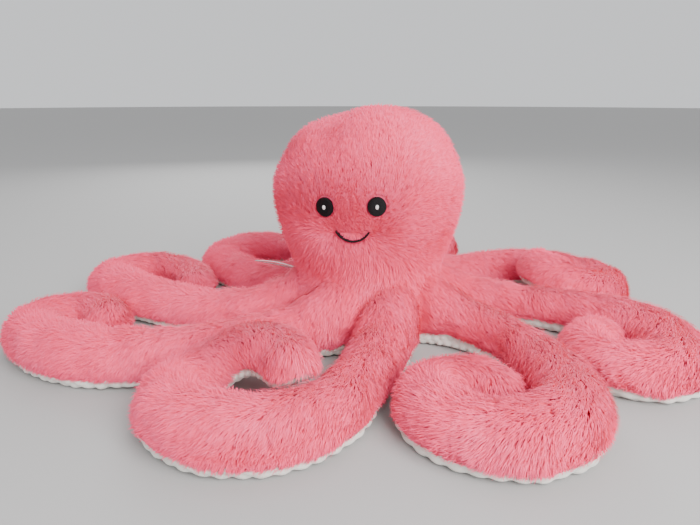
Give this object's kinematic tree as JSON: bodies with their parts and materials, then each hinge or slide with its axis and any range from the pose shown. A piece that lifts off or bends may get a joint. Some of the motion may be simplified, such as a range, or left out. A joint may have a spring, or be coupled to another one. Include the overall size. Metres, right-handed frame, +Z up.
{
  "type": "plush octopus toy",
  "caption": "Long-pile plush octopus with a round stuffed head, embroidered face, curled stuffed arms with bubble-fabric undersides, and a sewn-in label.",
  "frame": {"origin": "on the table under the middle of the head, at the centre of the flat base panel", "axes": "+Z up, the face looks along -Y, +X is to the right of a viewer who faces the toy"},
  "size_m": [0.7926, 0.7067, 0.273],
  "materials": {
    "pink_plush": "long pile",
    "bubble_fabric": "embossed minky dots",
    "fibre_filling": "loose polyester fibre",
    "black_thread": "satin stitch",
    "white_thread": "satin stitch",
    "label_ribbon": "woven satin ribbon"
  },
  "bodies": {
    "head": {"head_front_panel": "pink_plush", "head_back_panel": "pink_plush", "head_filling": "fibre_filling", "base_panel": "bubble_fabric", "left_eye": "black_thread", "right_eye": "black_thread", "left_eye_highlight": "white_thread", "right_eye_highlight": "white_thread", "smile": "black_thread", "care_label": "label_ribbon"},
    "front_left_arm": {"front_left_arm_cover": "pink_plush", "front_left_arm_underside": "bubble_fabric", "front_left_arm_filling": "fibre_filling"},
    "front_right_arm": {"front_right_arm_cover": "pink_plush", "front_right_arm_underside": "bubble_fabric", "front_right_arm_filling": "fibre_filling"},
    "right_front_arm": {"right_front_arm_cover": "pink_plush", "right_front_arm_underside": "bubble_fabric", "right_front_arm_filling": "fibre_filling"},
    "right_rear_arm": {"right_rear_arm_cover": "pink_plush", "right_rear_arm_underside": "bubble_fabric", "right_rear_arm_filling": "fibre_filling"},
    "rear_right_arm": {"rear_right_arm_cover": "pink_plush", "rear_right_arm_underside": "bubble_fabric", "rear_right_arm_filling": "fibre_filling"},
    "rear_left_arm": {"rear_left_arm_cover": "pink_plush", "rear_left_arm_underside": "bubble_fabric", "rear_left_arm_filling": "fibre_filling"},
    "left_rear_arm": {"left_rear_arm_cover": "pink_plush", "left_rear_arm_underside": "bubble_fabric", "left_rear_arm_filling": "fibre_filling"},
    "left_front_arm": {"left_front_arm_cover": "pink_plush", "left_front_arm_underside": "bubble_fabric", "left_front_arm_filling": "fibre_filling"}
  },
  "joints": [
    {"name": "front_left_arm_lift", "type": "hinge", "parent": "head", "child": "front_left_arm", "pos_m": [-0.03404, -0.08869, 0.02819], "axis": [-0.515, 0.8572, 0], "range_deg": [0, 12]},
    {"name": "front_right_arm_lift", "type": "hinge", "parent": "head", "child": "front_right_arm", "pos_m": [0.03864, -0.08679, 0.02819], "axis": [-0.9998, 0.0175, 0], "range_deg": [0, 30]},
    {"name": "right_front_arm_lift", "type": "hinge", "parent": "head", "child": "right_front_arm", "pos_m": [0.08869, -0.03404, 0.02819], "axis": [-0.1564, -0.9877, 0], "range_deg": [0, 30]},
    {"name": "right_rear_arm_lift", "type": "hinge", "parent": "head", "child": "right_rear_arm", "pos_m": [0.08679, 0.03864, 0.02819], "axis": [0.1392, -0.9903, 0], "range_deg": [0, 15]},
    {"name": "rear_right_arm_lift", "type": "hinge", "parent": "head", "child": "rear_right_arm", "pos_m": [0.03404, 0.08869, 0.02819], "axis": [0.7547, -0.6561, 0], "range_deg": [0, 30]},
    {"name": "rear_left_arm_lift", "type": "hinge", "parent": "head", "child": "rear_left_arm", "pos_m": [-0.03864, 0.08679, 0.02819], "axis": [0.9703, 0.2419, 0], "range_deg": [0, 30]},
    {"name": "left_rear_arm_lift", "type": "hinge", "parent": "head", "child": "left_rear_arm", "pos_m": [-0.08869, 0.03404, 0.02819], "axis": [0.225, 0.9744, 0], "range_deg": [0, 25]},
    {"name": "left_front_arm_lift", "type": "hinge", "parent": "head", "child": "left_front_arm", "pos_m": [-0.08679, -0.03864, 0.02819], "axis": [-0.4226, 0.9063, 0], "range_deg": [0, 25]}
  ]
}
